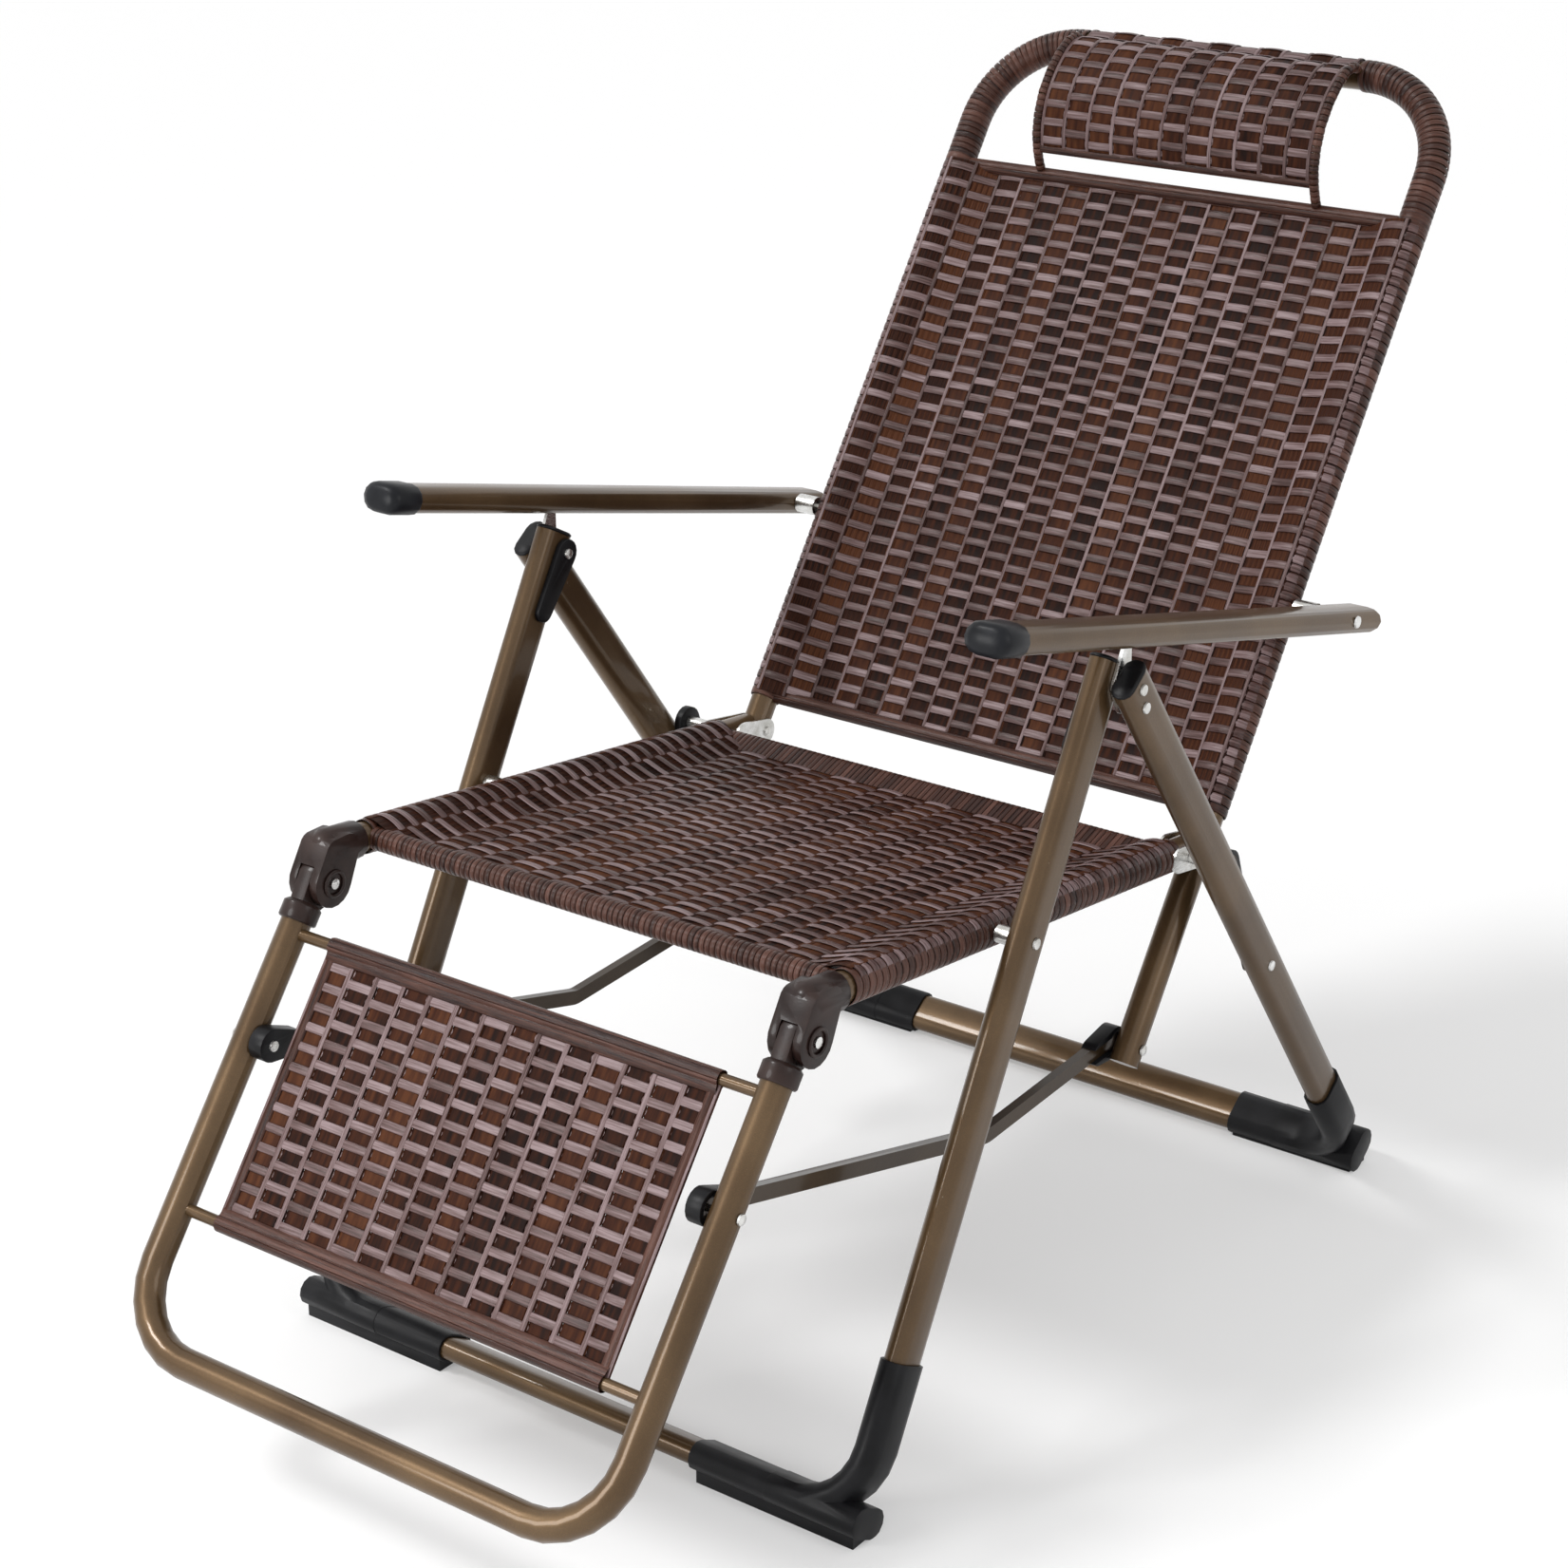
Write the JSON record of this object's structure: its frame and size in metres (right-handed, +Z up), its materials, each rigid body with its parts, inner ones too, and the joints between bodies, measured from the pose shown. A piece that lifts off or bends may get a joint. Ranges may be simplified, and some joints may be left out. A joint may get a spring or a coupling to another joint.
{
  "type": "reclining garden chair",
  "caption": "Folding reclining garden chair with crossed tube legs, woven seat, back, headrest and linked footrest, and sliding arms that tilt with the back.",
  "frame": {"origin": "centre of the box's underside, on the ground midway between the sides", "axes": "+X to the sitter's left, +Y to the sitter's back, +Z up; the sitter faces -Y"},
  "size_m": [0.6336, 1.2528, 0.9859],
  "materials": {
    "bronze_paint": "satin metallic bronze paint",
    "woven_resin": "dark brown flat resin strand, slightly glossy",
    "knuckle_plastic": "dark brown moulded plastic",
    "black_plastic": "black moulded plastic",
    "black_rubber": "matt black rubber",
    "zinc_steel": "bright zinc plate"
  },
  "bodies": {
    "rear_legs": {"arm_bracket_left": "zinc_steel", "arm_bracket_right": "zinc_steel", "leg_pivot_bolt_left": "zinc_steel", "leg_pivot_bolt_right": "zinc_steel", "rear_foot_cover_left": "black_plastic", "rear_foot_cover_right": "black_plastic", "rear_leg_frame": "bronze_paint", "rear_leg_plug_left": "black_plastic", "rear_leg_plug_right": "black_plastic", "stay_foot_bolt_left": "zinc_steel", "stay_foot_bolt_right": "zinc_steel"},
    "arm_left": {"arm_cap_left": "black_rubber", "arm_rack_left": "black_plastic", "arm_tube_left": "bronze_paint"},
    "arm_right": {"arm_cap_right": "black_rubber", "arm_rack_right": "black_plastic", "arm_tube_right": "bronze_paint"},
    "back": {"arm_pivot_bolt_left": "zinc_steel", "arm_pivot_bolt_right": "zinc_steel", "back_frame": "bronze_paint", "back_weave": "woven_resin", "headrest_weave": "woven_resin", "lever_bolt_left": "zinc_steel", "lever_bolt_right": "zinc_steel"},
    "footrest": {"foot_link_bolt_left": "zinc_steel", "foot_link_bolt_right": "zinc_steel", "footrest_frame": "bronze_paint", "footrest_weave": "woven_resin", "knuckle_foot_left": "knuckle_plastic", "knuckle_foot_right": "knuckle_plastic"},
    "front_legs": {"front_foot_cover_left": "black_plastic", "front_foot_cover_right": "black_plastic", "front_leg_frame": "bronze_paint", "front_leg_plug_left": "black_plastic", "front_leg_plug_right": "black_plastic", "pivot_tab_left": "black_plastic", "pivot_tab_right": "black_plastic", "seat_pivot_bolt_left": "zinc_steel", "seat_pivot_bolt_right": "zinc_steel"},
    "seat": {"knuckle_bolt_left": "zinc_steel", "knuckle_bolt_right": "zinc_steel", "knuckle_seat_left": "knuckle_plastic", "knuckle_seat_right": "knuckle_plastic", "seat_frame": "bronze_paint", "seat_hinge_left": "zinc_steel", "seat_hinge_right": "zinc_steel", "seat_weave": "woven_resin", "stay_top_bolt_left": "zinc_steel", "stay_top_bolt_right": "zinc_steel"},
    "link_left": {"link_bar_left": "bronze_paint", "link_cap_front_left": "black_plastic", "link_cap_rear_left": "black_plastic"},
    "link_right": {"link_bar_right": "bronze_paint", "link_cap_front_right": "black_plastic", "link_cap_rear_right": "black_plastic"},
    "stay_left": {"stay_bar_left": "bronze_paint", "stay_cap_left": "black_plastic"},
    "stay_right": {"stay_bar_right": "bronze_paint", "stay_cap_right": "black_plastic"}
  },
  "joints": [
    {"name": "leg_fold", "type": "hinge", "parent": "front_legs", "child": "rear_legs", "pos_m": [0, -0.02919, 0.604], "axis": [-1, 0, 0], "range_deg": [0, 55]},
    {"name": "seat_fold", "type": "hinge", "parent": "front_legs", "child": "seat", "pos_m": [0, -0.13669, 0.423], "axis": [-1, 0, 0], "range_deg": [0, 82]},
    {"name": "back_recline", "type": "hinge", "parent": "seat", "child": "back", "pos_m": [0, 0.20331, 0.3775], "axis": [-1, 0, 0], "range_deg": [-8, 24]},
    {"name": "footrest_swing", "type": "hinge", "parent": "seat", "child": "footrest", "pos_m": [0, -0.37369, 0.4225], "axis": [-1, 0, 0], "range_deg": [-12.5, 37]},
    {"name": "stay_swing_left", "type": "hinge", "parent": "seat", "child": "stay_left", "pos_m": [0.2915, 0.16431, 0.385], "axis": [-1, 0, 0], "range_deg": [0, 110]},
    {"name": "link_swing_left", "type": "hinge", "parent": "footrest", "child": "link_left", "pos_m": [0.2185, -0.46259, 0.3165], "axis": [-1, 0, 0], "range_deg": [-35, 12]},
    {"name": "arm_swing_left", "type": "hinge", "parent": "back", "child": "arm_left", "pos_m": [0.2955, 0.32531, 0.5625], "axis": [-1, 0, 0], "range_deg": [-18.5, 6]},
    {"name": "stay_swing_right", "type": "hinge", "parent": "seat", "child": "stay_right", "pos_m": [-0.2915, 0.16431, 0.385], "axis": [-1, 0, 0], "range_deg": [0, 110]},
    {"name": "link_swing_right", "type": "hinge", "parent": "footrest", "child": "link_right", "pos_m": [-0.2185, -0.46259, 0.3165], "axis": [-1, 0, 0], "range_deg": [-35, 12]},
    {"name": "arm_swing_right", "type": "hinge", "parent": "back", "child": "arm_right", "pos_m": [-0.2955, 0.32531, 0.5625], "axis": [-1, 0, 0], "range_deg": [-18.5, 6]}
  ],
  "couplings": [
    {"joint": "seat_fold", "follows": "leg_fold", "ratio": 1.48},
    {"joint": "footrest_swing", "follows": "back_recline", "ratio": 1.5336},
    {"joint": "stay_swing_left", "follows": "leg_fold", "ratio": 1.98},
    {"joint": "link_swing_left", "follows": "back_recline", "ratio": -1.4524},
    {"joint": "arm_swing_left", "follows": "back_recline", "ratio": -0.74},
    {"joint": "stay_swing_right", "follows": "leg_fold", "ratio": 1.98},
    {"joint": "link_swing_right", "follows": "back_recline", "ratio": -1.4524},
    {"joint": "arm_swing_right", "follows": "back_recline", "ratio": -0.74}
  ]
}
